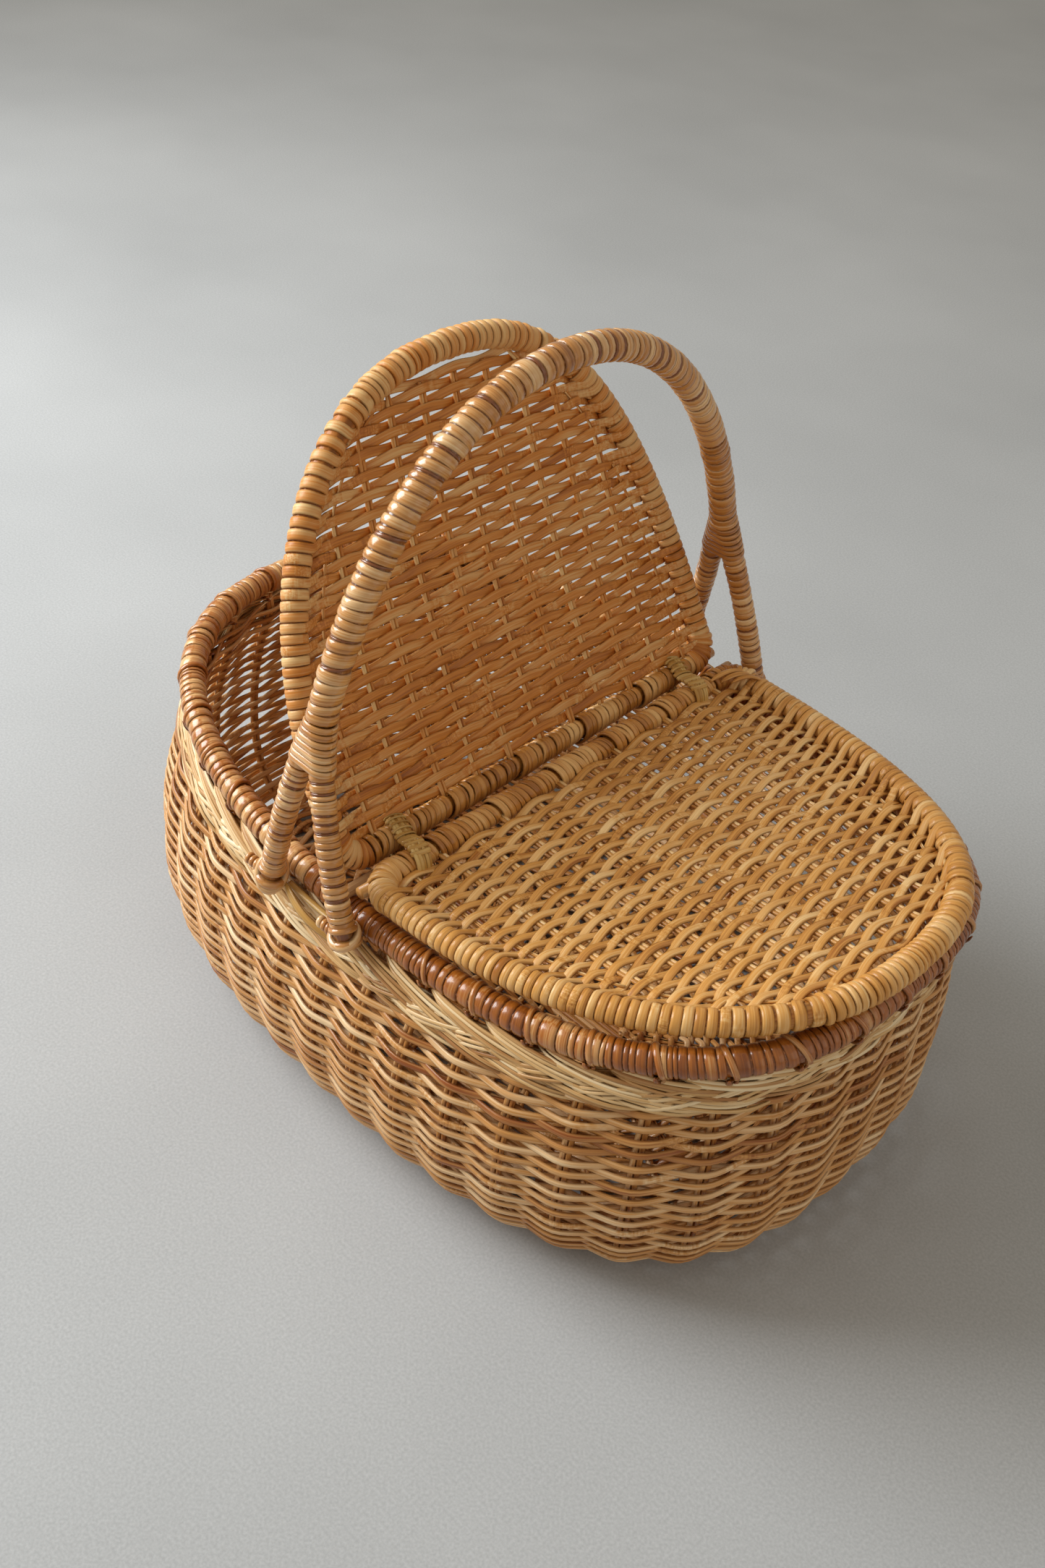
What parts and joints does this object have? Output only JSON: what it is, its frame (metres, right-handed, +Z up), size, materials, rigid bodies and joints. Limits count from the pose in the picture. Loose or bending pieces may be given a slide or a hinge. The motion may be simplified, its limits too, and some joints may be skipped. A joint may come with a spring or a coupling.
{
  "type": "picnic basket",
  "caption": "Oval woven cane picnic basket with flap lids hinged across its middle and a fixed arched handle on forked legs.",
  "frame": {"origin": "middle of the basket's length and width, on the surface that it stands on", "axes": "+X along the basket towards the closed front lid, +Y across it from one end of the hinge bars to the other, +Z up"},
  "size_m": [0.45, 0.317, 0.383],
  "materials": {
    "woven_wall": "satin split cane, woven",
    "woven_lid": "satin split cane, woven",
    "wrapped_rod": "varnished cane wrapping",
    "rim_wrap": "glossy brown cane wrapping",
    "pale_cane": "pale satin cane",
    "handle_wrap": "satin straw-coloured cane wrapping"
  },
  "bodies": {
    "basket": {"base": "woven_wall", "centre_bar": "wrapped_rod", "foot_binding_far_front": "handle_wrap", "foot_binding_far_rear": "handle_wrap", "foot_binding_near_front": "handle_wrap", "foot_binding_near_rear": "handle_wrap", "foot_loop_far": "pale_cane", "foot_loop_near": "pale_cane", "foot_peg_far_front": "handle_wrap", "foot_peg_far_rear": "handle_wrap", "foot_peg_near_front": "handle_wrap", "foot_peg_near_rear": "handle_wrap", "fork_binding_far": "handle_wrap", "fork_binding_near": "handle_wrap", "handle_arch": "handle_wrap", "handle_leg_far_front": "handle_wrap", "handle_leg_far_rear": "handle_wrap", "handle_leg_near_front": "handle_wrap", "handle_leg_near_rear": "handle_wrap", "hinge_binding_far": "pale_cane", "hinge_binding_near": "pale_cane", "rim_border": "pale_cane", "rim_hoop": "rim_wrap", "rim_lashing_01": "rim_wrap", "rim_lashing_02": "rim_wrap", "rim_lashing_03": "rim_wrap", "rim_lashing_04": "rim_wrap", "rim_lashing_05": "rim_wrap", "rim_lashing_06": "rim_wrap", "rim_lashing_07": "rim_wrap", "rim_lashing_08": "rim_wrap", "rim_lashing_09": "rim_wrap", "rim_lashing_10": "rim_wrap", "rim_lashing_11": "rim_wrap", "rim_lashing_12": "rim_wrap", "rim_lashing_13": "rim_wrap", "rim_lashing_14": "rim_wrap", "rim_lashing_15": "rim_wrap", "rim_lashing_16": "rim_wrap", "side_wall": "woven_wall"},
    "front_lid": {"front_lid_bar": "wrapped_rod", "front_lid_corner_far": "wrapped_rod", "front_lid_corner_near": "wrapped_rod", "front_lid_panel": "woven_lid", "front_lid_rim": "wrapped_rod"},
    "rear_lid": {"rear_lid_bar": "wrapped_rod", "rear_lid_corner_far": "wrapped_rod", "rear_lid_corner_near": "wrapped_rod", "rear_lid_panel": "woven_lid", "rear_lid_rim": "wrapped_rod"}
  },
  "joints": [
    {"name": "front_lid_hinge", "type": "hinge", "parent": "basket", "child": "front_lid", "pos_m": [0.0092, 0, 0.1622], "axis": [0, -1, 0], "range_deg": [0, 85]},
    {"name": "rear_lid_hinge", "type": "hinge", "parent": "basket", "child": "rear_lid", "pos_m": [-0.0092, 0, 0.1622], "axis": [0, 1, 0], "range_deg": [-58, 16]}
  ]
}
